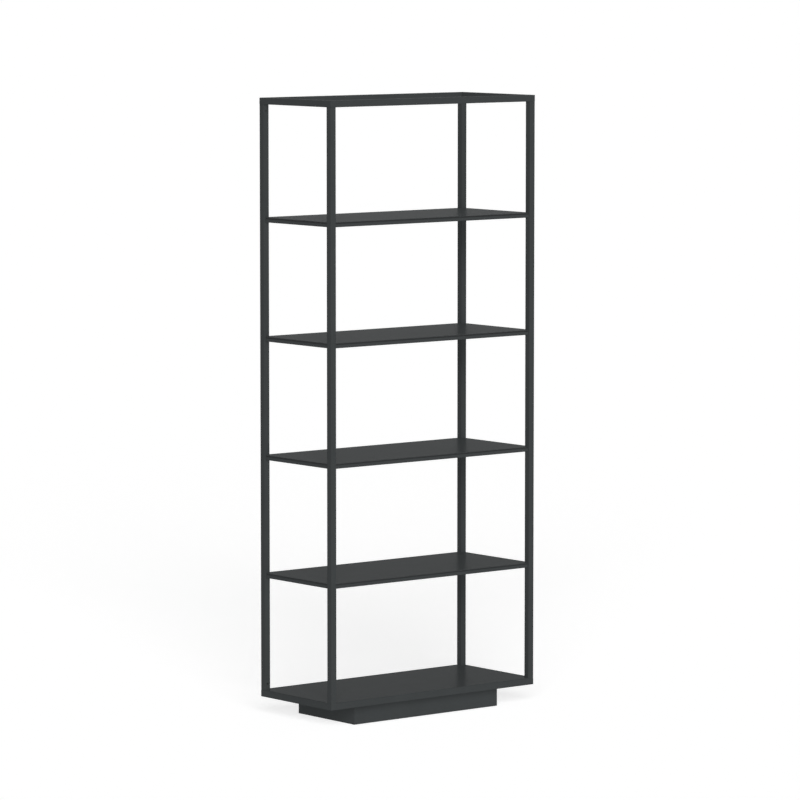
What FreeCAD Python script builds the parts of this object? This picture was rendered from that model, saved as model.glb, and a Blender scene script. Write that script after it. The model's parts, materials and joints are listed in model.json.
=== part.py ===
import FreeCAD, Part
import os
from itertools import repeat

import Sketcher

# An outdoor shelving unit of powder-coated square tube. X runs left to right, Y from the front to
# the back and Z up, with the origin on the ground under the middle of the unit. All in millimetres.

# The driving dimensions: each is written once here, and every other size and place follows.
SIZES = {
    # The frame of square tube
    "frame_width": 800,           # over the posts, left to right
    "frame_depth": 348,           # over the posts, front to back
    "tube_size": 20,              # outside of the posts, rails and bearers
    "tube_wall": 1.5,
    "shelf_pitch": 362.5,         # one bay: from one shelf's top to the next, base ring to frame top
    # The shelves and the base plate
    "shelf_setback": 5,           # the shelf edges stand back from the posts' outer faces
    "shelf_sheet": 2,
    "shelf_reveal": 3,            # the shadow line between a plate and its rails
    "shelf_rail_height": 10,
    "shelf_rail_wall": 1.5,
    "base_sheet": 2,
    "notch_clearance": 1,         # between a plate's corner notch and the post in it
    "strip_width": 10,            # the rubber strips that fill the shadow line, along the rails' middle
    "strip_end_gap": 1,           # between a strip's end and the post
    # The joints inside the tubes
    "key_leg": 40,                # a corner key's reach past the corner
    "spigot_length": 25,
    "slide_clearance": 0.1,       # each side, between a tube's bore and what slides into it
    "lock_diameter": 5,           # the grub screws that lock keys and spigots
    "lock_length": 6,
    "lock_socket": 2.5,           # across the flats, and as deep
    "thread_clearance": 0.05,     # each side, between a screw and its hole
    # The plinth under the base
    "plinth_width": 566,
    "plinth_depth": 275,
    "plinth_height": 60,
    "plinth_wall": 2,
    "plinth_flange": 40,
    "plinth_screw_spacing": 85,
    "plinth_screw_diameter": 5,
    "plinth_screw_grip": 6,       # shank length below the head
    "plinth_head_diameter": 9.5,
    "plinth_head_height": 2.5,
    "plinth_head_chamfer": 1,
    # The levelling feet and their brackets
    "foot_reach": 2,              # the pads stand this far below the plinth
    "foot_inset": 26,             # from the plinth's outer faces to a foot's axis
    "foot_stop_gap": 0.3,         # between a pad and its bracket, with the foot screwed right in
    "foot_pad_diameter": 32,
    "foot_pad_height": 10,
    "foot_pad_rim": 5,
    "foot_pad_edge": 1.5,
    "foot_hub_diameter": 16,
    "foot_socket_floor": 3,       # pad material left under the stem
    "stem_diameter": 8,
    "stem_length": 42,
    "stem_chamfer": 1,
    "bracket_size": 62,
    "bracket_sheet": 3,
    "boss_diameter": 15,
    "boss_height": 10,
}
SHELVES = ("lower", "lower_middle", "upper_middle", "upper")
BAYS = len(SHELVES) + 1

# The four corners and the four sides in turn, anticlockwise from the front. A piece is drawn once,
# for the front left corner or the front side, and the turn about Z carries it round.
CORNERS = (
    ("front_left", -1, -1, 0),
    ("front_right", 1, -1, 90),
    ("rear_right", 1, 1, 180),
    ("rear_left", -1, 1, 270),
)
SIDES = ("front", "right", "rear", "left")

doc = FreeCAD.newDocument("outdoor_shelving_unit")
dims = doc.addObject("Spreadsheet::Sheet", "dims")
for row, (alias, size) in enumerate(SIZES.items(), start=1):
    dims.set(f"A{row}", alias)
    dims.set(f"B{row}", str(size))
    dims.setAlias(f"B{row}", alias)
doc.recompute()

# Derived heights and sections, as expressions on the sheet
PLINTH_TOP = "(dims.foot_reach + dims.plinth_height)"
POST_FOOT = f"({PLINTH_TOP} + dims.tube_size)"
POST_LENGTH = f"({BAYS} * dims.shelf_pitch - dims.tube_size)"
POST_HEAD = f"({POST_FOOT} + {POST_LENGTH})"
SHELF_RAIL_WIDTH = "(dims.tube_size - dims.shelf_setback)"
SHELF_EDGE = "(dims.shelf_sheet + dims.shelf_reveal + dims.shelf_rail_height)"
BORE_LOW = "(dims.tube_wall + dims.slide_clearance)"
BORE_HIGH = f"(dims.tube_size - {BORE_LOW})"
KEY_LOCK = "(dims.tube_size + dims.key_leg / 2)"
SPIGOT_LOCK = "(dims.tube_size + dims.spigot_length / 2)"
SHELF_RAIL_MIDDLE = f"(dims.shelf_setback + {SHELF_RAIL_WIDTH} / 2)"
LOCK_HOLE = "(dims.lock_diameter + 2 * dims.thread_clearance)"
PLINTH_HOLE = "(dims.plinth_screw_diameter + 2 * dims.thread_clearance)"
STEM_HOLE = "(dims.stem_diameter + 2 * dims.thread_clearance)"
BRACKET_FLOOR = "(dims.foot_pad_height + dims.foot_stop_gap)"

UP = FreeCAD.Vector(0, 0, 1)
nodes = []


def number(expression):
    return float(dims.evalExpression(expression))


def shelf_top(level):
    return f"({POST_FOOT} + {level} * dims.shelf_pitch)"


def shelf_rail_foot(level):
    return f"({shelf_top(level)} - {SHELF_EDGE})"


def side_length(side, width="dims.frame_width", depth="dims.frame_depth"):
    return width if side in ("front", "rear") else depth


def keep(piece, label):
    """Name a finished sub-part and list it for writing."""
    piece.Label = label
    nodes.append(piece)


def about_z(turn):
    return FreeCAD.Rotation(UP, turn)


def place(piece, x, y, z, rotation=FreeCAD.Rotation()):
    """Turn a piece and bind its place to the sheet."""
    piece.Placement = FreeCAD.Placement(FreeCAD.Vector(0, 0, 0), rotation)
    for axis, expression in zip("xyz", (x, y, z)):
        piece.setExpression(f".Placement.Base.{axis}", expression)


def place_at_corner(piece, corner, z, width="dims.frame_width", depth="dims.frame_depth"):
    _, x_side, y_side, turn = corner
    place(piece, f"{x_side} * {width} / 2", f"{y_side} * {depth} / 2", z, about_z(turn))


def spot(x, y, z, rotation=FreeCAD.Rotation()):
    """The placement of one copy in a group of like pieces."""
    return FreeCAD.Placement(FreeCAD.Vector(number(x), number(y), number(z)), rotation)


def corner_spot(corner, z):
    _, x_side, y_side, turn = corner
    x = f"{x_side} * dims.frame_width / 2"
    return spot(x, f"{y_side} * dims.frame_depth / 2", z, about_z(turn))


def new_body(label):
    return doc.addObject("PartDesign::Body", label)


def new_sketch(body, plane, offset=None):
    """A sketch on one of the body's own origin planes, or at an offset along its normal."""
    sketch = body.newObject("Sketcher::SketchObject", "sketch")
    support = next(item for item in body.Origin.OriginFeatures if item.Role == plane)
    sketch.AttachmentSupport = [(support, "")]
    sketch.MapMode = "FlatFace"
    if offset:
        sketch.setExpression(".AttachmentOffset.Base.z", offset)
    return sketch


def bind_point(sketch, geometry, vertex, x, y):
    """Hold a point of the sketch at two expressions, measured from the sketch's origin."""
    for kind, axis_line, expression in (("DistanceX", -2, x), ("DistanceY", -1, y)):
        if expression == "0":
            sketch.addConstraint(Sketcher.Constraint("PointOnObject", geometry, vertex, axis_line))
            continue
        rule = Sketcher.Constraint(kind, -1, 1, geometry, vertex, number(expression))
        index = sketch.addConstraint(rule)
        sketch.setExpression(f"Constraints[{index}]", expression)


def draw_outline(sketch, points):
    """Draw a closed outline of straight lines through points given as pairs of expressions."""
    first = sketch.GeometryCount
    count = len(points)
    vectors = [FreeCAD.Vector(number(x), number(y), 0) for x, y in points]
    for index in range(count):
        sketch.addGeometry(Part.LineSegment(vectors[index], vectors[(index + 1) % count]))
    for index in range(count):
        following = first + (index + 1) % count
        sketch.addConstraint(Sketcher.Constraint("Coincident", first + index, 2, following, 1))
    for index, (x, y) in enumerate(points):
        bind_point(sketch, first + index, 1, x, y)


def draw_rectangle(sketch, low_x, low_y, high_x, high_y):
    corners = [(low_x, low_y), (high_x, low_y), (high_x, high_y), (low_x, high_y)]
    draw_outline(sketch, corners)


def draw_circle(sketch, x, y, diameter):
    centre = FreeCAD.Vector(number(x), number(y), 0)
    circle = Part.Circle(centre, FreeCAD.Vector(0, 0, 1), number(diameter) / 2)
    geometry = sketch.addGeometry(circle)
    bind_point(sketch, geometry, 3, x, y)
    rule = Sketcher.Constraint("Diameter", geometry, number(diameter))
    index = sketch.addConstraint(rule)
    sketch.setExpression(f"Constraints[{index}]", diameter)


def draw_tube_end(sketch, start, end, height, wall):
    """The section of a tube that lies between two distances from the outer face."""
    draw_rectangle(sketch, start, "0", end, height)
    bore_start = wall if start == "0" else f"{start} + {wall}"
    draw_rectangle(sketch, bore_start, wall, f"{end} - {wall}", f"{height} - {wall}")


def pad(body, sketch, length):
    feature = body.newObject("PartDesign::Pad", "pad")
    feature.Profile = sketch
    feature.setExpression("Length", length)


def pocket(body, sketch, length=None, along_normal=False):
    """Cut a sketch into the body, to a depth or right through, and check that it cut something."""
    doc.recompute()
    volume_before = body.Shape.Volume
    feature = body.newObject("PartDesign::Pocket", "pocket")
    feature.Profile = sketch
    feature.Reversed = along_normal
    if length:
        feature.setExpression("Length", length)
    else:
        feature.Type = "ThroughAll"
    doc.recompute()
    if body.Shape.Volume >= volume_before:
        raise RuntimeError(f"{body.Label}: a pocket cuts nothing")


def revolve(body, points):
    """Turn an outline of radius and height pairs about Z."""
    sketch = new_sketch(body, "XZ_Plane")
    draw_outline(sketch, points)
    feature = body.newObject("PartDesign::Revolution", "revolution")
    feature.Profile = sketch
    feature.ReferenceAxis = (sketch, ["V_Axis"])
    feature.Angle = 360


def box(low, high):
    """A block between two corners, each given as three expressions."""
    block = doc.addObject("Part::Box", "block")
    for size, start, end in zip(("Length", "Width", "Height"), low, high):
        block.setExpression(size, f"{end} - ({start})")
    place(block, *low)
    return block


def drill(diameter, length, x, y, z, direction=(0, 0, 1)):
    """A cylinder that starts at a point and runs along a direction, to cut a hole with."""
    bit = doc.addObject("Part::Cylinder", "drill")
    bit.setExpression("Radius", f"{diameter} / 2")
    bit.setExpression("Height", length)
    place(bit, x, y, z, FreeCAD.Rotation(UP, FreeCAD.Vector(*direction)))
    return bit


def fuse(pieces):
    joined = doc.addObject("Part::MultiFuse", "joined")
    joined.Shapes = pieces
    joined.Refine = True
    return joined


def cut(base, tools):
    """Take one or more tools away from a base."""
    result = doc.addObject("Part::Cut", "result")
    result.Base = base
    result.Tool = tools[0] if len(tools) == 1 else fuse(tools)
    return result


def group(label, masters, spots):
    """One node of separate like solids: a copy of a master at each spot."""
    doc.recompute()
    copies = []
    for master, spot_placement in zip(masters, spots):
        copy = master.Shape.copy()
        copy.Placement = spot_placement.multiply(copy.Placement)
        copies.append(copy)
    node = doc.addObject("Part::Feature", label)
    node.Shape = Part.makeCompound(copies)
    keep(node, label)


def make_post(corner):
    """A post stands on the base ring and carries the top ring, locked to a key at each end."""
    post = new_body("post")
    end = new_sketch(post, "XY_Plane")
    draw_tube_end(end, "0", "dims.tube_size", "dims.tube_size", "dims.tube_wall")
    pad(post, end, POST_LENGTH)
    lock_face = new_sketch(post, "YZ_Plane", "dims.tube_size")
    for height in ("dims.key_leg / 2", f"{POST_LENGTH} - dims.key_leg / 2"):
        draw_circle(lock_face, "dims.tube_size / 2", height, LOCK_HOLE)
    pocket(post, lock_face, "dims.tube_wall")
    place_at_corner(post, corner, POST_FOOT)
    keep(post, f"post_{corner[0]}")


def make_ring_rail(ring, corner, side):
    """A rail of the top or base ring: tube mitred in plan, opened for the keys toward the posts."""
    length = side_length(side)
    rail = new_body(f"{ring}_rail")
    plan = new_sketch(rail, "XY_Plane")
    mitre = [
        ("0", "0"),
        (length, "0"),
        (f"{length} - dims.tube_size", "dims.tube_size"),
        ("dims.tube_size", "dims.tube_size"),
    ]
    draw_outline(plan, mitre)
    pad(rail, plan, "dims.tube_size")
    bore = new_sketch(rail, "YZ_Plane")
    bore_end = "dims.tube_size - dims.tube_wall"
    draw_rectangle(bore, "dims.tube_wall", "dims.tube_wall", bore_end, bore_end)
    pocket(rail, bore, along_normal=True)
    toward_posts = new_sketch(rail, "XY_Plane", "dims.tube_size" if ring == "base" else None)
    draw_rectangle(toward_posts, "dims.tube_wall", "dims.tube_wall", bore_end, bore_end)
    far_start = f"{length} - dims.tube_size + dims.tube_wall"
    far_end = f"{length} - dims.tube_wall"
    draw_rectangle(toward_posts, far_start, "dims.tube_wall", far_end, bore_end)
    for x in (KEY_LOCK, f"{length} - {KEY_LOCK}"):
        draw_circle(toward_posts, x, "dims.tube_size / 2", LOCK_HOLE)
    pocket(rail, toward_posts, "dims.tube_wall", along_normal=ring == "top")
    place_at_corner(rail, corner, PLINTH_TOP if ring == "base" else POST_HEAD)
    keep(rail, f"{ring}_rail_{side}")


def make_corner_key(ring, corner):
    """A key with a leg in each of the three tubes that meet at a corner."""
    low = (BORE_LOW, BORE_LOW, BORE_LOW)
    reach = "(dims.tube_size + dims.key_leg)"
    along_x = box(low, (reach, BORE_HIGH, BORE_HIGH))
    along_y = box(low, (BORE_HIGH, reach, BORE_HIGH))
    if ring == "base":
        along_post = box(low, (BORE_HIGH, BORE_HIGH, reach))
        face, into, post_lock = "dims.tube_size", (0, 0, -1), KEY_LOCK
    else:
        along_post = box((BORE_LOW, BORE_LOW, "-dims.key_leg"), (BORE_HIGH, BORE_HIGH, BORE_HIGH))
        face, into, post_lock = "0", (0, 0, 1), "-dims.key_leg / 2"
    middle = "dims.tube_size / 2"
    hole_depth = "dims.lock_length"
    holes = [
        drill(LOCK_HOLE, hole_depth, KEY_LOCK, middle, face, into),
        drill(LOCK_HOLE, hole_depth, middle, KEY_LOCK, face, into),
        drill(LOCK_HOLE, hole_depth, "dims.tube_size", middle, post_lock, (-1, 0, 0)),
    ]
    key = cut(fuse([along_x, along_y, along_post]), holes)
    place_at_corner(key, corner, PLINTH_TOP if ring == "base" else POST_HEAD)
    keep(key, f"{ring}_key_{corner[0]}")


def make_notched_plate(label, setback, thickness, underside):
    """A sheet with its four corners notched round the posts."""
    reach_x = f"(dims.frame_width / 2 - {setback})"
    reach_y = f"(dims.frame_depth / 2 - {setback})"
    notch_x = "(dims.frame_width / 2 - dims.tube_size - dims.notch_clearance)"
    notch_y = "(dims.frame_depth / 2 - dims.tube_size - dims.notch_clearance)"
    quarter = [(notch_x, reach_y), (notch_x, notch_y), (reach_x, notch_y)]
    outline = list(quarter)
    outline += [(x, f"-{y}") for x, y in reversed(quarter)]
    outline += [(f"-{x}", f"-{y}") for x, y in quarter]
    outline += [(f"-{x}", y) for x, y in reversed(quarter)]
    plate = new_body("plate")
    plan = new_sketch(plate, "XY_Plane")
    draw_outline(plan, outline)
    pad(plate, plan, thickness)
    place(plate, "0", "0", underside)
    keep(plate, label)


def make_shelf_rail(shelf, level, corner, side):
    """A rail under one edge of a shelf, between two posts and over a spigot at each end."""
    length = side_length(side)
    rail = new_body("shelf_rail")
    end = new_sketch(rail, "YZ_Plane", "dims.tube_size")
    height, wall = "dims.shelf_rail_height", "dims.shelf_rail_wall"
    draw_tube_end(end, "dims.shelf_setback", "dims.tube_size", height, wall)
    pad(rail, end, f"{length} - 2 * dims.tube_size")
    locks = new_sketch(rail, "XY_Plane")
    for x in (SPIGOT_LOCK, f"{length} - {SPIGOT_LOCK}"):
        draw_circle(locks, x, SHELF_RAIL_MIDDLE, LOCK_HOLE)
    pocket(rail, locks, wall, along_normal=True)
    place_at_corner(rail, corner, shelf_rail_foot(level))
    keep(rail, f"shelf_{shelf}_rail_{side}")


def make_base_bearer(side, corner):
    """A bearer between the front and rear base rails, over one side of the plinth."""
    length = "(dims.frame_depth - 2 * dims.tube_size)"
    bearer = new_body("base_bearer")
    end = new_sketch(bearer, "YZ_Plane")
    draw_tube_end(end, "0", "dims.tube_size", "dims.tube_size", "dims.tube_wall")
    pad(bearer, end, length)
    holes = new_sketch(bearer, "XY_Plane")
    for step in (-1, 0, 1):
        x = f"{length} / 2 + {step} * dims.plinth_screw_spacing"
        draw_circle(holes, x, "dims.tube_size / 2", PLINTH_HOLE)
    pocket(bearer, holes, "dims.tube_wall", along_normal=True)
    _, x_side, y_side, turn = corner
    y = f"{y_side} * (dims.frame_depth / 2 - dims.tube_size)"
    place(bearer, f"{x_side} * dims.plinth_width / 2", y, PLINTH_TOP, about_z(turn))
    keep(bearer, f"base_bearer_{side}")


def make_plinth_panel(side, corner):
    """A plinth wall with a flange turned in along its top, both mitred to the next panels."""
    length = side_length(side, "dims.plinth_width", "dims.plinth_depth")
    panel = new_body("plinth_panel")
    wall_plan = new_sketch(panel, "XY_Plane")
    draw_mitred_strip(wall_plan, length, "0", "dims.plinth_wall")
    pad(panel, wall_plan, "dims.plinth_height")
    flange_plan = new_sketch(panel, "XY_Plane", "dims.plinth_height - dims.plinth_wall")
    draw_mitred_strip(flange_plan, length, "dims.plinth_wall", "dims.plinth_flange")
    pad(panel, flange_plan, "dims.plinth_wall")
    if side in ("left", "right"):
        holes = new_sketch(panel, "XY_Plane", "dims.plinth_height")
        for step in (-1, 0, 1):
            x = f"{length} / 2 + {step} * dims.plinth_screw_spacing"
            draw_circle(holes, x, "dims.tube_size / 2", PLINTH_HOLE)
        pocket(panel, holes, "dims.plinth_wall")
    place_at_corner(panel, corner, "dims.foot_reach", "dims.plinth_width", "dims.plinth_depth")
    keep(panel, f"plinth_{side}")


def draw_mitred_strip(sketch, length, near, far):
    """A strip along X between two distances from the outer face, its ends cut at 45 degrees."""
    far_end = f"{length} - {far}"
    near_end = length if near == "0" else f"{length} - {near}"
    draw_outline(sketch, [(near, near), (near_end, near), (far_end, far), (far, far)])


def make_foot_pad(corner):
    pad_body = new_body("foot_pad")
    rim = "dims.foot_pad_diameter / 2"
    socket = f"{STEM_HOLE} / 2"
    outline = [
        ("0", "0"),
        (f"{rim} - dims.foot_pad_edge", "0"),
        (rim, "dims.foot_pad_edge"),
        (rim, "dims.foot_pad_rim"),
        ("dims.foot_hub_diameter / 2", "dims.foot_pad_height"),
        (socket, "dims.foot_pad_height"),
        (socket, "dims.foot_socket_floor"),
        ("0", "dims.foot_socket_floor"),
    ]
    revolve(pad_body, outline)
    place_at_foot(pad_body, corner, "0")
    keep(pad_body, f"levelling_pad_{corner[0]}")


def make_foot_stem(corner):
    stem = new_body("foot_stem")
    radius = "dims.stem_diameter / 2"
    outline = [
        ("0", "0"),
        (f"{radius} - dims.stem_chamfer", "0"),
        (radius, "dims.stem_chamfer"),
        (radius, "dims.stem_length - dims.stem_chamfer"),
        (f"{radius} - dims.stem_chamfer", "dims.stem_length"),
        ("0", "dims.stem_length"),
    ]
    revolve(stem, outline)
    place_at_foot(stem, corner, "dims.foot_socket_floor")
    keep(stem, f"levelling_stem_{corner[0]}")


def place_at_foot(piece, corner, z):
    _, x_side, y_side, turn = corner
    x = f"{x_side} * (dims.plinth_width / 2 - dims.foot_inset)"
    y = f"{y_side} * (dims.plinth_depth / 2 - dims.foot_inset)"
    place(piece, x, y, z, about_z(turn))


def make_foot_brackets():
    """A gusset in each plinth corner, with the threaded boss that a levelling foot turns in."""
    gusset = new_body("gusset")
    plan = new_sketch(gusset, "XY_Plane")
    near = "dims.plinth_wall"
    far = "(dims.plinth_wall + dims.bracket_size)"
    inner = "(dims.foot_inset + dims.boss_diameter / 2)"
    outline = [(near, near), (far, near), (far, inner), (inner, far), (near, far)]
    draw_outline(plan, outline)
    pad(gusset, plan, "dims.bracket_sheet")
    boss = new_sketch(gusset, "XY_Plane", "dims.bracket_sheet")
    draw_circle(boss, "dims.foot_inset", "dims.foot_inset", "dims.boss_diameter")
    pad(gusset, boss, "dims.boss_height")
    hole = new_sketch(gusset, "XY_Plane")
    draw_circle(hole, "dims.foot_inset", "dims.foot_inset", STEM_HOLE)
    pocket(gusset, hole, along_normal=True)
    spots = []
    for _, x_side, y_side, turn in CORNERS:
        x = f"{x_side} * dims.plinth_width / 2"
        y = f"{y_side} * dims.plinth_depth / 2"
        spots.append(spot(x, y, BRACKET_FLOOR, about_z(turn)))
    group("foot_brackets", repeat(gusset), spots)


def make_rail_spigots():
    """The blocks welded to the posts that the shelf rails slide over."""
    edge = "(dims.shelf_rail_wall + dims.slide_clearance)"
    start = ("dims.tube_size", f"dims.shelf_setback + {edge}", edge)
    end_x = "dims.tube_size + dims.spigot_length"
    end = (end_x, f"dims.tube_size - {edge}", f"dims.shelf_rail_height - {edge}")
    hole = drill(LOCK_HOLE, "dims.shelf_rail_height", SPIGOT_LOCK, SHELF_RAIL_MIDDLE, "0")
    along_x = cut(box(start, end), [hole])
    spots = []
    for level in range(1, BAYS):
        for corner in CORNERS:
            spots.append(corner_spot(corner, shelf_rail_foot(level)))
            spots.append(spots[-1].multiply(ACROSS_CORNER))
    group("rail_spigots", repeat(along_x), spots)


def make_shelf_strips():
    """The rubber strips that seat each plate on its rails, set back from the edge."""
    end_distance = "(dims.tube_size + dims.strip_end_gap)"
    near = f"{SHELF_RAIL_MIDDLE} - dims.strip_width / 2"
    far = f"{SHELF_RAIL_MIDDLE} + dims.strip_width / 2"
    strip_of_side = {}
    for side in SIDES:
        low = (end_distance, near, "0")
        high = (f"{side_length(side)} - {end_distance}", far, "dims.shelf_reveal")
        strip_of_side[side] = box(low, high)
    spots = []
    for level in range(1, BAYS):
        rail_top = f"{shelf_top(level)} - dims.shelf_sheet - dims.shelf_reveal"
        spots += [corner_spot(corner, rail_top) for corner in CORNERS]
    group("shelf_strips", list(strip_of_side.values()) * len(SHELVES), spots)


def make_grub_screws():
    """One grub screw for each end of each shelf rail and for each leg of each corner key."""
    shank = doc.addObject("Part::Cylinder", "shank")
    shank.setExpression("Radius", "dims.lock_diameter / 2")
    shank.setExpression("Height", "dims.lock_length")
    socket = doc.addObject("Part::Prism", "socket")
    socket.Polygon = 6
    socket.setExpression("Circumradius", "dims.lock_socket / 2 / cos(30)")
    socket.setExpression("Height", "dims.lock_socket")
    screw = cut(shank, [socket])
    upside_down = FreeCAD.Rotation(FreeCAD.Vector(1, 0, 0), 180)
    into_post = FreeCAD.Rotation(UP, FreeCAD.Vector(-1, 0, 0))
    spots = []
    for corner in CORNERS:
        for level in range(1, BAYS):
            rail_foot = corner_spot(corner, shelf_rail_foot(level))
            under_spigot = spot(SPIGOT_LOCK, SHELF_RAIL_MIDDLE, "0")
            spots.append(rail_foot.multiply(under_spigot))
            spots.append(rail_foot.multiply(ACROSS_CORNER).multiply(under_spigot))
        for ring_face, turn_over in ((POST_FOOT, upside_down), (POST_HEAD, FreeCAD.Rotation())):
            for x, y in ((KEY_LOCK, "dims.tube_size / 2"), ("dims.tube_size / 2", KEY_LOCK)):
                spots.append(corner_spot(corner, ring_face).multiply(spot(x, y, "0", turn_over)))
        for height in ("dims.key_leg / 2", f"{POST_LENGTH} - dims.key_leg / 2"):
            in_post = spot("dims.tube_size", "dims.tube_size / 2", height, into_post)
            spots.append(corner_spot(corner, POST_FOOT).multiply(in_post))
    group("grub_screws", repeat(screw), spots)


def make_plinth_screws():
    """The screws that go up through the plinth's side flanges into the bearers."""
    screw = new_body("plinth_screw")
    shank = "dims.plinth_screw_diameter / 2"
    head = "dims.plinth_head_diameter / 2"
    outline = [
        ("0", "-dims.plinth_head_height"),
        (f"{head} - dims.plinth_head_chamfer", "-dims.plinth_head_height"),
        (head, "-dims.plinth_head_height + dims.plinth_head_chamfer"),
        (head, "0"),
        (shank, "0"),
        (shank, "dims.plinth_screw_grip"),
        ("0", "dims.plinth_screw_grip"),
    ]
    revolve(screw, outline)
    flange_underside = f"{PLINTH_TOP} - dims.plinth_wall"
    spots = []
    for x_side in (-1, 1):
        x = f"{x_side} * (dims.plinth_width / 2 - dims.tube_size / 2)"
        for step in (-1, 0, 1):
            spots.append(spot(x, f"{step} * dims.plinth_screw_spacing", flange_underside))
    group("plinth_screws", repeat(screw), spots)


# Carries what lies along a corner's first shelf rail over to its second one
ACROSS_CORNER = spot("dims.tube_size + dims.shelf_setback", "0", "0", about_z(90))

for corner, side in zip(CORNERS, SIDES):
    make_post(corner)
    for ring in ("top", "base"):
        make_ring_rail(ring, corner, side)
        make_corner_key(ring, corner)
    for level, shelf in enumerate(SHELVES, start=1):
        make_shelf_rail(shelf, level, corner, side)
    if side in ("left", "right"):
        make_base_bearer(side, corner)
    make_plinth_panel(side, corner)
    make_foot_pad(corner)
    make_foot_stem(corner)

for level, shelf in enumerate(SHELVES, start=1):
    underside = f"{shelf_top(level)} - dims.shelf_sheet"
    make_notched_plate(f"shelf_{shelf}_plate", "dims.shelf_setback", "dims.shelf_sheet", underside)
make_notched_plate("base_plate", "0", "dims.base_sheet", POST_FOOT)

make_rail_spigots()
make_shelf_strips()
make_grub_screws()
make_plinth_screws()
make_foot_brackets()
doc.recompute()

for item in doc.Objects:
    if "Invalid" in item.State or "Error" in item.State:
        raise RuntimeError(f"{item.Label} failed: {item.State}")
for node in nodes:
    if node.Shape.isNull() or not node.Shape.isValid():
        raise RuntimeError(f"{node.Label} has no valid shape")

os.makedirs("parts", exist_ok=True)
for node in nodes:
    node.Shape.exportStep(f"parts/{node.Label}.step")
print(f"{len(nodes)} nodes, overall height {number(POST_HEAD) + number('dims.tube_size'):.1f} mm")
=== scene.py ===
# %% [markdown]
# # An outdoor shelving unit in anthracite powder coat
# The unit is a tall open frame of square steel tube: four posts, an open ring at the top, four thin
# shelves, a closed base and a low plinth set back under it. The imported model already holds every
# piece at its real size, so this lesson only dresses it: it rounds the knife-sharp edges that real
# steel never has, cuts the threads and grips that a drawing leaves out, and makes the finishes.
# Everything is in metres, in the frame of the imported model.

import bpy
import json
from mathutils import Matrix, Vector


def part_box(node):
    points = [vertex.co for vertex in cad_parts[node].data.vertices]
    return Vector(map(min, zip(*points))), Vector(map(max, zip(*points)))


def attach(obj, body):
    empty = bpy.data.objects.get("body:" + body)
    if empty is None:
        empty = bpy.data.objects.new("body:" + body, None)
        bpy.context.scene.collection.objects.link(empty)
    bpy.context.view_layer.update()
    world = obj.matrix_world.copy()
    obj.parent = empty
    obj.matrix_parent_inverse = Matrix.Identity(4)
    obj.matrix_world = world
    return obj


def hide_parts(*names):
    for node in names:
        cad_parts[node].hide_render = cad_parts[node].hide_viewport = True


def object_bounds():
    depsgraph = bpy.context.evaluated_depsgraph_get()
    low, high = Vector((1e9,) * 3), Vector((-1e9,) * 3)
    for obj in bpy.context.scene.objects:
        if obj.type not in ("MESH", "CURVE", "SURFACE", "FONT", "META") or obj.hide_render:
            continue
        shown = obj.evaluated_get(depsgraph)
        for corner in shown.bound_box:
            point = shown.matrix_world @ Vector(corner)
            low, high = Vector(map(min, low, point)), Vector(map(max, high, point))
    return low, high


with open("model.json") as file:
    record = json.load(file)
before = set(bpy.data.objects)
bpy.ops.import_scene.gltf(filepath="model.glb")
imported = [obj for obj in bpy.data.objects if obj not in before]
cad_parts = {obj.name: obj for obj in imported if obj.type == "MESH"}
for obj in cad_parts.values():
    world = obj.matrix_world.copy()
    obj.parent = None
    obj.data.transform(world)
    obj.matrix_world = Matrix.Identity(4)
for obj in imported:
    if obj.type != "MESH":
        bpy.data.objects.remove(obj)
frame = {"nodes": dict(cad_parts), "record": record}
cad_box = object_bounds()

# %% Tools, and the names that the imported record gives
import json
import math

import bmesh
import bpy
from mathutils import Vector

MILLIMETRE = 0.001
scene = bpy.context.scene
scene.view_settings.view_transform = "Standard"
record = frame["record"]
slot_of = {row["node"]: row["material_slot"] for row in record["subparts"]}
body_of = {node: body for body, members in record["behaviour"]["bodies"].items() for node in members}


def nodes_named(*starts):
    """The nodes whose names start with one of these words, in order."""
    return sorted(node for node in slot_of if node.startswith(starts))


print("the unit measures", [round(edge, 4) for edge in cad_box[1] - cad_box[0]], "m")

# %% [markdown]
# ## The camera
# A product picture of tall furniture is taken from far away with a long lens, so that the posts
# stay nearly parallel. This one looks from the front left and a little from above. The camera is
# placed from what a photographer would note down: how far it is turned and tilted, how far away it
# stands, the point that it aims at, and how much of the scene the lens takes in.

# %% Place the camera
CAMERA_TURN = math.radians(39.04)    # from straight in front of the unit towards its left
CAMERA_TILT = math.radians(5.68)     # downwards
CAMERA_DISTANCE = 14.583
AIM_HEIGHT = 0.963
AIM_ASIDE = 0.0053                   # to the right of the unit's middle, in the picture
FOCAL_LENGTH_IN_PICTURE_WIDTHS = 5.9365
FARTHEST_SEEN = 1000

level_view = Vector((math.sin(CAMERA_TURN), math.cos(CAMERA_TURN), 0))
picture_right = Vector((math.cos(CAMERA_TURN), -math.sin(CAMERA_TURN), 0))
view = level_view * math.cos(CAMERA_TILT) - Vector((0, 0, math.sin(CAMERA_TILT)))
aim = Vector((0, 0, AIM_HEIGHT)) + picture_right * AIM_ASIDE

lens = bpy.data.cameras.new("studio_camera")
lens.lens = FOCAL_LENGTH_IN_PICTURE_WIDTHS * lens.sensor_width
lens.clip_end = FARTHEST_SEEN
camera = bpy.data.objects.new("studio_camera", lens)
camera.location = aim - view * CAMERA_DISTANCE
camera.rotation_euler = view.to_track_quat("-Z", "Y").to_euler()
scene.collection.objects.link(camera)
scene.camera = camera
print("camera at", [round(place, 3) for place in camera.location], "with a", round(lens.lens), "mm lens")

# %% [markdown]
# ## Sums with sockets
# A material is a small machine of nodes joined by wires. Adding each Math node by hand hides the
# idea, so one class wraps an output socket and lets Python's own signs add the Math nodes:
# `(noise - 0.5) * width + middle` reads like the sum that it is. Every other kind of node comes
# from one method, which sets the node up first and then feeds its sockets.

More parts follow.
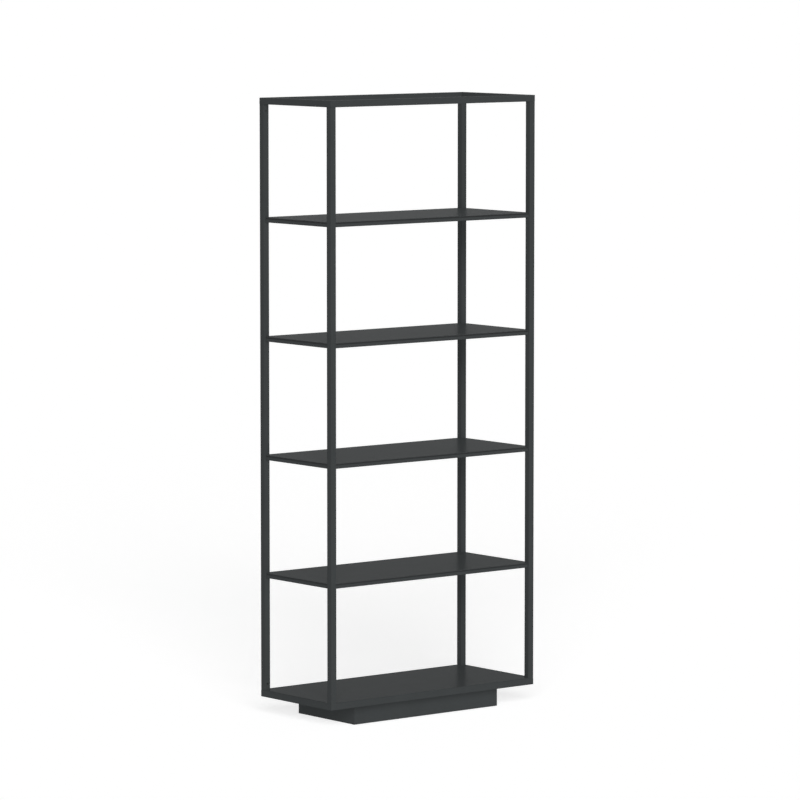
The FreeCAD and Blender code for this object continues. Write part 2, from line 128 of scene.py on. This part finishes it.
# %% A socket that can be used in a sum
class Wire:
    """An output socket of a node tree; without a socket, the bare tree that nodes are added to."""

    def __init__(self, tree, socket=None):
        self.tree = tree
        self.socket = socket

    def node(self, kind, settings, sockets, output=0):
        """Add a node: its settings first, then the values or wires of its sockets."""
        node = self.tree.nodes.new(kind)
        for name, value in settings.items():
            setattr(node, name, value)
        for key, value in sockets.items():
            if isinstance(value, Wire):
                self.tree.links.new(value.socket, node.inputs[key])
            else:
                node.inputs[key].default_value = value
        return Wire(self.tree, node.outputs[output]) if node.outputs else None

    def sum(self, operation, first, second):
        return self.node("ShaderNodeMath", {"operation": operation}, {0: first, 1: second})

    def __add__(self, other):
        return self.sum("ADD", self, other)

    def __sub__(self, other):
        return self.sum("SUBTRACT", self, other)

    def __rsub__(self, other):
        return self.sum("SUBTRACT", other, self)

    def __mul__(self, other):
        return self.sum("MULTIPLY", self, other)

    __radd__ = __add__
    __rmul__ = __mul__

    def swing(self, middle, width):
        """A value that this noise, which averages a half, moves about a middle."""
        return (self - 0.5) * width + middle

    def mixed_with(self, other, share):
        """This wire with a share of another in its place."""
        return self * (1 - share) + other * share

    def blend(self, at_zero, at_one):
        """Two colours mixed by this wire; 6, 7 and 2 are the Mix node's sockets for colours."""
        return self.node("ShaderNodeMix", {"data_type": "RGBA"}, {0: self, 6: at_zero, 7: at_one}, 2)

    def stretch(self, *factors):
        """A place stretched along X, Y and Z."""
        return self.node("ShaderNodeVectorMath", {"operation": "MULTIPLY"}, {0: self, 1: factors})

    def noise(self, feature_size, detail):
        """Cloudy noise from 0 to 1 over this place, with features of a real size in metres."""
        sockets = {"Vector": self, "Scale": 1 / feature_size, "Detail": detail}
        return self.node("ShaderNodeTexNoise", {}, sockets, "Fac")

    def bump(self, depth):
        """The normals of a surface that this wire raises by up to a depth in metres."""
        return self.node("ShaderNodeBump", {}, {"Height": self, "Distance": depth}, "Normal")


def start_tree(owner):
    """An empty node tree for a material or a world."""
    owner.use_nodes = True
    owner.node_tree.nodes.clear()
    return Wire(owner.node_tree)


print("sums on sockets: + - * and their reflected forms")

# %% [markdown]
# ## The floor and the white surround
# The unit stands on a white studio floor that runs out to white all round. Under light that suits
# the unit, white paint comes out pale grey, and more light would burn the unit out as well. So the
# trick is in the floor: rays that carry light on to the unit see plain white paint, and rays that
# look at the floor, from the camera or in a reflection, see the same paint with a faint glow that
# makes up the difference. The shadow stays. The world does the same: it is white where it is looked
# at, and only a faint white where it lights.

# %% The floor
WHITE = (1, 1, 1, 1)
FLOOR_PAINT = (0.93, 0.93, 0.93, 1)
FLOOR_GLOW = 0.34
FLOOR_RADIUS = 300
FLOOR_SIDES = 96
RAYS_THAT_LOOK = ("Is Camera Ray", "Is Glossy Ray", "Is Transmission Ray")


def seen_directly(tree):
    """1 for rays that look at the surround from the camera, in a reflection or through glass."""
    camera_ray, glossy_ray, through_ray = (
        tree.node("ShaderNodeLightPath", {}, {}, name) for name in RAYS_THAT_LOOK
    )
    return camera_ray + glossy_ray + through_ray


floor_finish = bpy.data.materials.new("studio_floor")
tree = start_tree(floor_finish)
paint = tree.node("ShaderNodeBsdfDiffuse", {}, {"Color": FLOOR_PAINT})
glow = tree.node("ShaderNodeEmission", {}, {"Color": WHITE, "Strength": FLOOR_GLOW})
glowing_paint = tree.node("ShaderNodeAddShader", {}, {0: paint, 1: glow})
look = tree.node("ShaderNodeMixShader", {}, {0: seen_directly(tree), 1: paint, 2: glowing_paint})
tree.node("ShaderNodeOutputMaterial", {}, {"Surface": look})

disc = bmesh.new()
bmesh.ops.create_circle(disc, cap_ends=True, radius=FLOOR_RADIUS, segments=FLOOR_SIDES)
floor_mesh = bpy.data.meshes.new("studio_floor")
disc.to_mesh(floor_mesh)
disc.free()
floor_mesh.materials.append(floor_finish)
floor = bpy.data.objects.new("studio_floor", floor_mesh)
floor.location.z = cad_box[0].z
scene.collection.objects.link(floor)
print("floor of", FLOOR_RADIUS, "m radius at height", round(floor.location.z, 5))

# %% The world
SKY_LEVEL = 0.04

world = bpy.data.worlds.new("studio")
scene.world = world
tree = start_tree(world)
strength = seen_directly(tree) * (1 - SKY_LEVEL) + SKY_LEVEL
background = tree.node("ShaderNodeBackground", {}, {"Color": WHITE, "Strength": strength})
tree.node("ShaderNodeOutputWorld", {}, {"Surface": background})
print("the world lights at", SKY_LEVEL, "and looks white")

# %% [markdown]
# ## The lamps
# The shadow on the floor lies straight behind the unit, so the main light comes from behind the
# camera, and it alone casts a shadow and makes glints. Its wide angle makes it as soft as a large
# window. The other three are fills, which only lighten the faces that it misses. The faces that look
# to the front are a little brighter than those that look to the left, so one fill comes from the
# front right. A weaker one low on the left reaches under the base to the plinth, and one from behind
# keeps the back from going black. With glints of their own, the fills would make the shelves shine
# when they are seen from the far side. They are narrow, because a wide lamp still casts part of its
# shadow after that is switched off. Sun lamps light the whole floor evenly, however far it runs. A
# lamp's level is the brightness that it lends to a white surface facing it, which is its strength
# divided by pi.

# %% Hang the lamps
FILL_SPREAD = 10


def hang_light(name, turn, height, spread, level):
    """A light from a turn to the unit's right of straight in front, and a height, in degrees."""
    turn, height = math.radians(turn), math.radians(height)
    side = Vector((math.sin(turn), -math.cos(turn), 0))
    towards = side * math.cos(height) + Vector((0, 0, math.sin(height)))
    light = bpy.data.lights.new(name, "SUN")
    light.angle = math.radians(spread)
    light.energy = level * math.pi
    lamp = bpy.data.objects.new(name, light)
    lamp.rotation_euler = towards.to_track_quat("Z", "Y").to_euler()
    scene.collection.objects.link(lamp)
    print(name, "lends the floor", round(level * math.sin(height), 3))
    return lamp


def hang_fill(name, **light):
    """A narrow light that casts no shadow and makes no glint."""
    lamp = hang_light(name, spread=FILL_SPREAD, **light)
    lamp.data.use_shadow = False
    lamp.visible_glossy = False


hang_light("main_light", turn=-35, height=21, spread=30, level=0.60)
hang_fill("fill_from_front_right", turn=50, height=28, level=0.75)
hang_fill("fill_low_on_the_left", turn=-88, height=4, level=0.31)
hang_fill("fill_from_behind", turn=165, height=22, level=0.22)

# %% [markdown]
# ## The powder coat
# Powder coat is paint that is sprayed on as dust and melted in an oven. Close up it is never flat:
# the melted skin dimples like orange peel every couple of millimetres, a fine grain sits on that,
# and the coat lies a little thicker and darker in some places than in others. A bitmap would blur or
# repeat on a piece two metres tall, so three noises at real sizes make the coat: clouds of thickness
# and a grain of painted shade and light for the colour, and peel and grain for the bump. The colour's
# grain is painted shade in the pits between the grains and painted light on their crests, where the
# grain's bump lies low and high. From two metres away the grain melts into one even tone. Seen square
# on, the coat is matt, so its specular level is very low. Seen along a shelf it still mirrors the white
# surround, a little blurred, because the melted resin leaves a clear skin over a small share of the
# surface. Coat Weight is that share, and the soft dark streak in front of a far post is the post's
# reflection in the skin. The unit is one colour all over, and each kind of piece has a coat of its own
# so that it can be recoated by itself.

# %% Start and end a finish
def new_finish(name):
    """A new material, its empty tree and the place on the piece that every pattern starts from."""
    finish = bpy.data.materials.new(name)
    tree = start_tree(finish)
    return finish, tree, tree.node("ShaderNodeTexCoord", {}, {}, "Object")


def use_surface(tree, **sockets):
    """End a tree in one Principled surface."""
    named = {name.replace("_", " "): value for name, value in sockets.items()}
    surface = tree.node("ShaderNodeBsdfPrincipled", {}, named)
    tree.node("ShaderNodeOutputMaterial", {}, {"Surface": surface})


print("finishes to make:", sorted(set(slot_of.values())))

# %% Make the coats
# The dark end is the thick coat of the clouds and painted shade in the grain's pits; the pale end is the
# thin coat and painted light on the grain's crests.
COAT_THICK_AND_PIT_SHADE = (0.0334, 0.0363, 0.0371, 1)
COAT_THIN_AND_CREST_LIGHT = (0.0480, 0.0523, 0.0535, 1)
CLOUD_SIZE = 90 * MILLIMETRE
PEEL_SIZE = 2.2 * MILLIMETRE
GRAIN_SIZE = 0.7 * MILLIMETRE
# The grain's part of the colour is painted shade and light: darker where the grain's bump lies low,
# paler where it lies high.
PAINTED_GRAIN_SHADING_CONTRAST = 4
PAINTED_GRAIN_SHADING_SHARE = 0.5                # the rest of the colour is from the clouds
GRAIN_IN_RELIEF = 0.4                # the rest of the relief is from the peel
COAT_RELIEF = 0.1 * MILLIMETRE
COAT_ROUGHNESS = 0.5
ROUGHNESS_BY_CLOUD = 0.05
ROUGHNESS_BY_GRAIN = 0.16
COAT_GLOSS = 0.0004                  # specular level
SKIN_SHARE = 0.12                    # of the surface that the clear skin covers
SKIN_BY_GRAIN = 0.06
SKIN_ROUGHNESS = 0.26
SKIN_IOR = 1.15


def powder_coat(name):
    finish, tree, place = new_finish(name)
    cloud = place.noise(CLOUD_SIZE, detail=3)
    peel = place.noise(PEEL_SIZE, detail=1)
    grain = place.noise(GRAIN_SIZE, detail=1)
    # Painted shade in the pits and painted light on the crests of the grain that the bump raises.
    painted_grain_shading = grain.swing(middle=0.5, width=PAINTED_GRAIN_SHADING_CONTRAST)
    rough_clouds = cloud.swing(COAT_ROUGHNESS, ROUGHNESS_BY_CLOUD)
    use_surface(
        tree,
        Base_Color=cloud.mixed_with(painted_grain_shading, PAINTED_GRAIN_SHADING_SHARE).blend(COAT_THICK_AND_PIT_SHADE, COAT_THIN_AND_CREST_LIGHT),
        Roughness=grain.swing(rough_clouds, ROUGHNESS_BY_GRAIN),
        Normal=peel.mixed_with(grain, GRAIN_IN_RELIEF).bump(COAT_RELIEF),
        Specular_IOR_Level=COAT_GLOSS,
        Coat_Weight=grain.swing(SKIN_SHARE, SKIN_BY_GRAIN),
        Coat_Roughness=SKIN_ROUGHNESS,
        Coat_IOR=SKIN_IOR,
    )
    return finish


finishes = {slot: powder_coat(slot) for slot in ("frame_coat", "shelf_coat", "plinth_coat")}
print("powder coats:", sorted(finishes))

# %% [markdown]
# ## The small materials
# What shows in the gaps and under the plinth isn't coated. The strips under the shelves are black
# rubber with a grey bloom, the feet are black plastic from a spark-eroded mould, the stems and the
# plinth screws are stainless steel with fine turning lines, the grub screws in the posts are steel
# blackened with oxide, and the keys inside the corners are cast aluminium. Each one is the same
# recipe with its own sizes: a wide noise and a fine one, shared out between colour, gloss and
# relief.

# %% Rubber and plastic
RUBBER_DARK = (0.016, 0.016, 0.017, 1)
RUBBER_BLOOM = (0.032, 0.032, 0.033, 1)
PLASTIC_DARK = (0.020, 0.020, 0.022, 1)
PLASTIC_PALE = (0.030, 0.030, 0.032, 1)


def black_rubber(name):
    finish, tree, place = new_finish(name)
    bloom = place.noise(feature_size=9 * MILLIMETRE, detail=4)
    grain = place.noise(feature_size=0.5 * MILLIMETRE, detail=2)
    use_surface(
        tree,
        Base_Color=bloom.blend(RUBBER_DARK, RUBBER_BLOOM),
        Roughness=bloom.swing(middle=0.74, width=0.2),
        Normal=grain.bump(depth=0.06 * MILLIMETRE),
        Specular_IOR_Level=0.25,
    )
    return finish


def moulded_plastic(name):
    finish, tree, place = new_finish(name)
    shade = place.noise(feature_size=14 * MILLIMETRE, detail=3)
    spark = place.noise(feature_size=0.6 * MILLIMETRE, detail=3)
    use_surface(
        tree,
        Base_Color=shade.mixed_with(spark, share=0.5).blend(PLASTIC_DARK, PLASTIC_PALE),
        Roughness=spark.swing(middle=0.5, width=0.25),
        Normal=spark.bump(depth=0.08 * MILLIMETRE),
    )
    return finish


finishes["strip_rubber"] = black_rubber("strip_rubber")
finishes["foot_plastic"] = moulded_plastic("foot_plastic")
print("finishes so far:", sorted(finishes))

# %% Steel and aluminium
STEEL_DARK = (0.46, 0.46, 0.45, 1)
STEEL_BRIGHT = (0.62, 0.62, 0.61, 1)
OXIDE_DARK = (0.024, 0.024, 0.026, 1)
OXIDE_WORN = (0.048, 0.047, 0.046, 1)
CASTING_DARK = (0.42, 0.42, 0.43, 1)
CASTING_BRIGHT = (0.58, 0.58, 0.59, 1)
TURNING_STRETCH = (1, 1, 25)         # the lathe's lines are far closer along the screw than round it


def turned_steel(name, dark, bright):
    finish, tree, place = new_finish(name)
    smear = place.noise(feature_size=6 * MILLIMETRE, detail=3)
    lines = place.stretch(*TURNING_STRETCH).noise(feature_size=3 * MILLIMETRE, detail=3)
    use_surface(
        tree,
        Base_Color=smear.mixed_with(lines, share=0.5).blend(dark, bright),
        Roughness=smear.swing(middle=0.32, width=0.25),
        Normal=lines.bump(depth=0.02 * MILLIMETRE),
        Metallic=1.0,
    )
    return finish


def cast_aluminium(name):
    finish, tree, place = new_finish(name)
    flow = place.noise(feature_size=12 * MILLIMETRE, detail=4)
    sand = place.noise(feature_size=0.8 * MILLIMETRE, detail=2)
    use_surface(
        tree,
        Base_Color=flow.mixed_with(sand, share=0.4).blend(CASTING_DARK, CASTING_BRIGHT),
        Roughness=flow.swing(middle=0.48, width=0.2),
        Normal=sand.bump(depth=0.12 * MILLIMETRE),
        Metallic=1.0,
    )
    return finish


finishes["screw_steel"] = turned_steel("screw_steel", STEEL_DARK, STEEL_BRIGHT)
finishes["grub_steel"] = turned_steel("grub_steel", OXIDE_DARK, OXIDE_WORN)
finishes["key_metal"] = cast_aluminium("key_metal")
print("finishes:", sorted(finishes))

# %% [markdown]
# ## Rounding what the drawing leaves sharp
# A solid from a drawing has edges of no width, and such an edge never catches the light. Real tube
# leaves its rolls with round corners, and a sawn or cut edge is broken with a file before coating.
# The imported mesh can't be bevelled as it is: its corners are split, and each flat face is a fan of
# triangles. So each piece starts from a copy, welded and joined back into whole faces, and the
# chosen edges of that copy are rounded. The node itself stays as it was, hidden behind the copy.

# %% Whole faces, sharp edges and round-overs
WELD_DISTANCE = 0.001 * MILLIMETRE
FLAT_ANGLE = math.radians(0.5)
SHARP_ANGLE = math.radians(40)
ROUND_PROFILE = 0.5                  # what a bevel calls the arc of a circle


def welded(node):
    """A copy of a node's surface with its split corners welded."""
    shape = bmesh.new()
    shape.from_mesh(frame["nodes"][node].data)
    bmesh.ops.remove_doubles(shape, verts=shape.verts, dist=WELD_DISTANCE)
    return shape


def whole_faces(node):
    """A welded copy with its triangles joined into faces."""
    shape = welded(node)
    bmesh.ops.dissolve_limit(shape, angle_limit=FLAT_ANGLE, verts=shape.verts, edges=shape.edges)
    return shape


def sharp_edges(shape):
    """The outward edges that two faces meet in at a steep angle."""
    return [
        edge
        for edge in shape.edges
        if len(edge.link_faces) == 2 and edge.is_convex and edge.calc_face_angle() > SHARP_ANGLE
    ]


def round_over(shape, edges, radius, segments):
    bmesh.ops.bevel(
        shape, geom=edges, offset=radius, offset_type="OFFSET", segments=segments,
        profile=ROUND_PROFILE, affect="EDGES", clamp_overlap=True,
    )


trial = whole_faces("post_front_left")
print("a post has", len(trial.faces), "whole faces and", len(sharp_edges(trial)), "sharp edges")
trial.free()

# %% Put a finished shape in a node's place
def new_piece(name, shape, finish):
    """An object of a finished shape, its wide faces shaded flat and its round edges smooth."""
    mesh = bpy.data.meshes.new(name)
    shape.to_mesh(mesh)
    shape.free()
    mesh.shade_smooth()
    mesh.set_sharp_from_angle(angle=SHARP_ANGLE)
    mesh.materials.append(finish)
    piece = bpy.data.objects.new(name, mesh)
    scene.collection.objects.link(piece)
    piece.modifiers.new("flat_faces", "WEIGHTED_NORMAL").keep_sharp = True
    return piece


def dress(node, shape):
    """Make the piece that stands for a node: on the same body, in the finish of the node's slot."""
    piece = new_piece("dressed_" + node, shape, finishes[slot_of[node]])
    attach(piece, body_of[node])
    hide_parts(node)


print("finishes still wanted:", sorted(set(slot_of.values()) - set(finishes)))

# %% [markdown]
# ## Posts, rings, shelf rails and bearers
# All of these are lengths of drawn tube. Their four long corners take the radius of the rolls, and
# their sawn ends and screw holes take a much smaller break, so that two pieces that meet show the
# hairline that a bolted frame shows. The long corners are found by their place: they run along the
# piece's longest side, at the edges of its box.

# %% Dress the tubes
TUBE_RADIUS = 1.0 * MILLIMETRE
SAWN_BREAK = 0.25 * MILLIMETRE
ON_BOX = 0.01 * MILLIMETRE


def box_of(points):
    """The lowest and highest corner of some points."""
    columns = list(zip(*points))
    return Vector(map(min, columns)), Vector(map(max, columns))


def long_corners(shape):
    """The long outer edges of a tube."""
    low, high = box_of(vert.co for vert in shape.verts)
    size = high - low
    along = max(range(3), key=lambda axis: size[axis])
    across = [axis for axis in range(3) if axis != along]
    found = []
    for edge in sharp_edges(shape):
        near, far = (vert.co for vert in edge.verts)
        straight = all(abs(near[axis] - far[axis]) < ON_BOX for axis in across)
        outside = all(min(near[axis] - low[axis], high[axis] - near[axis]) < ON_BOX for axis in across)
        if straight and outside:
            found.append(edge)
    return found


def dress_tube(node):
    shape = whole_faces(node)
    round_over(shape, long_corners(shape), TUBE_RADIUS, segments=4)
    round_over(shape, sharp_edges(shape), SAWN_BREAK, segments=2)
    dress(node, shape)


shelf_rails = [node for node in nodes_named("shelf_") if "_rail_" in node]
tubes = nodes_named("post_", "top_rail_", "base_rail_", "base_bearer_") + shelf_rails
for node in tubes:
    dress_tube(node)
print("tubes dressed:", len(tubes))

# %% [markdown]
# ## The shelves and the base plate
# Each shelf is a sheet of steel two millimetres thick, notched round the posts, and the base is a
# larger one that lies on its ring. A cut sheet is deburred, and the melted powder draws back from its
# edge, so both rims are rounded to a quarter of the sheet. That leaves a thin line of light along
# the front, which is what makes a thin shelf look like metal.

# %% Dress the plates
RIM_RADIUS = 0.5 * MILLIMETRE

plates = [node for node in nodes_named("shelf_", "base_") if node.endswith("_plate")]
for node in plates:
    shape = whole_faces(node)
    round_over(shape, sharp_edges(shape), RIM_RADIUS, segments=3)
    dress(node, shape)
print("plates dressed:", plates)

# %% [markdown]
# ## The plinth
# The plinth is four strips of sheet, each folded once so that a flange lies under the base. A fold
# can't be sharp: the outside of the bend has a radius of about the sheet's thickness. The folded
# edge is found by its place, along the top of the outer wall; the rest are cut edges.

# %% Dress the plinth panels
BEND_RADIUS = 2.0 * MILLIMETRE
CUT_BREAK = 0.4 * MILLIMETRE


def folded_edges(shape):
    """The edge in which a panel's outer wall turns into its flange."""
    low, high = box_of(vert.co for vert in shape.verts)
    outward = ((low + high) / 2).to_2d().normalized()
    reach = max(vert.co.to_2d().dot(outward) for vert in shape.verts)
    found = []
    for edge in sharp_edges(shape):
        on_top = all(high.z - vert.co.z < ON_BOX for vert in edge.verts)
        on_wall = all(reach - vert.co.to_2d().dot(outward) < ON_BOX for vert in edge.verts)
        if on_top and on_wall:
            found.append(edge)
    return found


for node in nodes_named("plinth_front", "plinth_rear", "plinth_left", "plinth_right"):
    shape = whole_faces(node)
    bends = folded_edges(shape)
    print(node, "has", len(bends), "folded edge")
    round_over(shape, bends, BEND_RADIUS, segments=4)
    round_over(shape, sharp_edges(shape), CUT_BREAK, segments=2)
    dress(node, shape)

# %% [markdown]
# ## What is hidden in the joints
# Rubber strips fill the dark line under each shelf, steel spigots hold the shelf rails, cast keys
# hold the corners, and gussets in the plinth carry the feet. Hardly any of this shows, but each
# piece is what it is: the rubber has soft edges, the castings rounder ones, the sheet sharper ones.

# %% Dress the hidden pieces
KEY_RADIUS = 1.2 * MILLIMETRE

hidden_radii = {
    "shelf_strips": 0.8 * MILLIMETRE,
    "rail_spigots": 0.5 * MILLIMETRE,
    "foot_brackets": 0.5 * MILLIMETRE,
}
hidden_radii.update({node: KEY_RADIUS for node in nodes_named("top_key_", "base_key_")})
for node, radius in hidden_radii.items():
    shape = whole_faces(node)
    round_over(shape, sharp_edges(shape), radius, segments=3)
    dress(node, shape)
print("hidden pieces dressed:", len(hidden_radii))

# %% [markdown]
# ## The levelling feet
# A foot is a threaded stem with a plastic pad on its lower end. It is turned by hand, so the pad's
# rim is fluted, and the stem has a real thread: its radius falls and rises with height, and the
# pattern climbs one pitch per turn. Both are made from rings of points, with the radius worked out
# for each point, and skinned from ring to ring.

# %% Skin a shape through rings of points
def round_sizes(low, high):
    """The radius, the height and the middle of the underside of an upright round piece's box."""
    foot = Vector(((low.x + high.x) / 2, (low.y + high.y) / 2, low.z))
    return (high.x - low.x) / 2, high.z - low.z, foot


def plain(radius):
    """The same radius at every angle."""
    return lambda angle: radius


def ring(radius_at, height, centre, sides):
    """Points round a vertical axis, with a radius that may change with the angle."""
    points = []
    for step in range(sides):
        angle = 2 * math.pi * step / sides
        radius = radius_at(angle)
        points.append(centre + Vector((radius * math.cos(angle), radius * math.sin(angle), height)))
    return points


def skin(shape, rings):
    """Join rings into a surface, with a face over each end."""
    rows = [[shape.verts.new(point) for point in points] for points in rings]
    for lower, upper in zip(rows, rows[1:]):
        for step in range(len(lower)):
            following = (step + 1) % len(lower)
            shape.faces.new((lower[step], lower[following], upper[following], upper[step]))
    shape.faces.new(reversed(rows[0]))
    shape.faces.new(rows[-1])


trial = bmesh.new()
skin(trial, [ring(plain(1), height, Vector(), sides=6) for height in (0, 1)])
print("two rings of six points make", len(trial.faces), "faces")
trial.free()

# %% Thread the stems
THREAD_PITCH = 1.25 * MILLIMETRE
THREAD_DEPTH = 0.65 * MILLIMETRE
THREAD_SIDES = 40
ROWS_PER_PITCH = 10
STEM_CHAMFER = 1.0 * MILLIMETRE
FLANK_SLOPE = 1.2                    # over 1, so that the thread's root is flat
CREST_FLAT = 0.1


def thread_at(height, outside, limit):
    """The radius of a thread at one height, no larger than a limit."""

    def radius_at(angle):
        phase = (height / THREAD_PITCH - angle / (2 * math.pi)) % 1
        flank = abs(2 * phase - 1)
        groove = min(1, max(0, FLANK_SLOPE * flank - CREST_FLAT))
        return min(limit, outside - THREAD_DEPTH * groove)

    return radius_at


def threaded_stem(node):
    outside, length, foot = round_sizes(*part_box(node))
    row_count = round(length / THREAD_PITCH * ROWS_PER_PITCH)
    rings = []
    for row in range(row_count + 1):
        height = length * row / row_count
        from_end = min(height, length - height)
        limit = outside - max(0, STEM_CHAMFER - from_end)
        rings.append(ring(thread_at(height, outside, limit), height, foot, THREAD_SIDES))
    shape = bmesh.new()
    skin(shape, rings)
    return shape


for node in nodes_named("levelling_stem_"):
    dress(node, threaded_stem(node))
print("stems threaded:", len(nodes_named("levelling_stem_")))

# %% Draw the profile of a pad
PAD_RIM_SHARE = 0.5                  # of the pad's height
PAD_EDGE = 1.5 * MILLIMETRE
PAD_SHOULDER = 1.0 * MILLIMETRE
HUB_SHARE = 0.5                      # of the pad's radius
HUB_ROUND = 0.5 * MILLIMETRE
SLOPE_POWER = 1.5                    # the slope steepens towards the hub
SLOPE_STEPS = 6
ROUND_STEPS = 4
SOCKET_CHAMFER = 0.3 * MILLIMETRE


def quarter_round(out, up, size, start):
    """A quarter circle in a profile, about a centre and from a start angle in degrees."""
    turns = [math.radians(start + 90 * step / ROUND_STEPS) for step in range(ROUND_STEPS + 1)]
    return [(out + size * math.cos(turn), up + size * math.sin(turn)) for turn in turns]


def pad_profile(outside, height, socket, socket_floor):
    """Radii and heights up the outside of a pad, over its hub and down into its socket."""
    rim_top = PAD_RIM_SHARE * height
    hub = HUB_SHARE * outside
    shoulder = outside - PAD_SHOULDER
    rise = height - HUB_ROUND - rim_top
    slope = []
    for step in range(1, SLOPE_STEPS):
        share = step / SLOPE_STEPS
        slope.append((shoulder + (hub - shoulder) * share, rim_top + rise * share ** SLOPE_POWER))
    return (
        quarter_round(outside - PAD_EDGE, PAD_EDGE, PAD_EDGE, start=-90)
        + quarter_round(shoulder, rim_top - PAD_SHOULDER, PAD_SHOULDER, start=0)
        + slope
        + quarter_round(hub - HUB_ROUND, height - HUB_ROUND, HUB_ROUND, start=0)
        + [(socket + SOCKET_CHAMFER, height), (socket, height - SOCKET_CHAMFER), (socket, socket_floor)]
    )


print("a quarter round has", len(quarter_round(0, 0, PAD_EDGE, start=0)), "points")

# %% Mould the pads
FLUTES = 16
FLUTE_DEPTH = 0.7 * MILLIMETRE
FLUTE_FADE = 2.5 * MILLIMETRE        # from the rim inwards
PAD_SIDES = 128
SOCKET_GAP = 0.05 * MILLIMETRE


def fluted(radius, outside):
    """The radius of a ring whose flutes fade away from the pad's rim."""
    share = max(0, 1 - (outside - radius) / FLUTE_FADE)
    return lambda angle: radius - share * FLUTE_DEPTH * ((1 + math.cos(FLUTES * angle)) / 2) ** 2


def moulded_pad(node):
    outside, height, foot = round_sizes(*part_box(node))
    stem_low, stem_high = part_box(node.replace("pad", "stem"))
    socket = (stem_high.x - stem_low.x) / 2 + SOCKET_GAP
    profile = pad_profile(outside, height, socket, stem_low.z - foot.z)
    shape = bmesh.new()
    skin(shape, [ring(fluted(radius, outside), rise, foot, PAD_SIDES) for radius, rise in profile])
    return shape


for node in nodes_named("levelling_pad_"):
    dress(node, moulded_pad(node))
print("pads moulded:", len(nodes_named("levelling_pad_")))

# %% [markdown]
# ## The screws
# The grub screws already have their hexagon sockets, so they only get their edges broken. The
# plinth screws are plain in the drawing. On the real unit they are button heads with a hexagon
# socket, turned up from below, so each is skinned anew: a dome whose inner rings run from round to
# six-sided, then down into the socket.

# %% Find the plinth screws
def islands(node):
    """The box of each separate solid in a group node."""
    shape = welded(node)
    waiting = set(shape.verts)
    boxes = []
    while waiting:
        front = [waiting.pop()]
        points = []
        while front:
            vert = front.pop()
            points.append(vert.co.copy())
            for edge in vert.link_edges:
                other = edge.other_vert(vert)
                if other in waiting:
                    waiting.remove(other)
                    front.append(other)
        boxes.append(box_of(points))
    shape.free()
    return boxes


screw_boxes = islands("plinth_screws")
print("plinth screws found:", len(screw_boxes))

# %% Turn the plinth screws
HEAD_SIDES = 48
HEAD_HEIGHT = 2.5 * MILLIMETRE
HEAD_FLAT = 0.55                     # of the head's radius; the dome falls away from there
DOME_SHARE = 0.8                     # of the head's height; the rest is a straight rim
DOME_STEPS = 6
SOCKET_ACROSS = 3.0 * MILLIMETRE
SOCKET_DEPTH = 1.6 * MILLIMETRE
LEAD_IN_DEPTH = 0.2 * MILLIMETRE
LEAD_IN_ACROSS = 0.3 * MILLIMETRE    # more than the socket
SHANK_RADIUS = 2.5 * MILLIMETRE
SHANK_CHAMFER = 0.5 * MILLIMETRE


def hexagon(across):
    """The radius of a hexagon at an angle, from its size across the flats."""
    sector = math.pi / 3
    return lambda angle: across / 2 / math.cos(angle % sector - sector / 2)


def dome(outside):
    """The rings of a button head, from the edge of its flat to its rim."""
    rows = []
    for step in range(DOME_STEPS + 1):
        turn = math.radians(90 * step / DOME_STEPS)
        radius = outside * (HEAD_FLAT + (1 - HEAD_FLAT) * math.sin(turn))
        rows.append((plain(radius), DOME_SHARE * HEAD_HEIGHT * (1 - math.cos(turn))))
    return rows


def button_screw(shape, low, high):
    """Skin a screw that fills a box, from the floor of its socket to the tip of its shank."""
    outside, length, foot = round_sizes(low, high)
    profile = [
        (hexagon(SOCKET_ACROSS), SOCKET_DEPTH),
        (hexagon(SOCKET_ACROSS), LEAD_IN_DEPTH),
        (hexagon(SOCKET_ACROSS + LEAD_IN_ACROSS), 0),
        *dome(outside),
        (plain(outside), HEAD_HEIGHT),
        (plain(SHANK_RADIUS), HEAD_HEIGHT),
        (plain(SHANK_RADIUS), length - SHANK_CHAMFER),
        (plain(SHANK_RADIUS - SHANK_CHAMFER), length),
    ]
    skin(shape, [ring(radius_at, rise, foot, HEAD_SIDES) for radius_at, rise in profile])


shape = bmesh.new()
for low, high in screw_boxes:
    button_screw(shape, low, high)
dress("plinth_screws", shape)
print("plinth screws turned:", len(screw_boxes))

# %% Break the edges of the grub screws
GRUB_BREAK = 0.2 * MILLIMETRE

shape = whole_faces("grub_screws")
rims = sharp_edges(shape)
print("edges broken on the grub screws:", len(rims))
round_over(shape, rims, GRUB_BREAK, segments=2)
dress("grub_screws", shape)
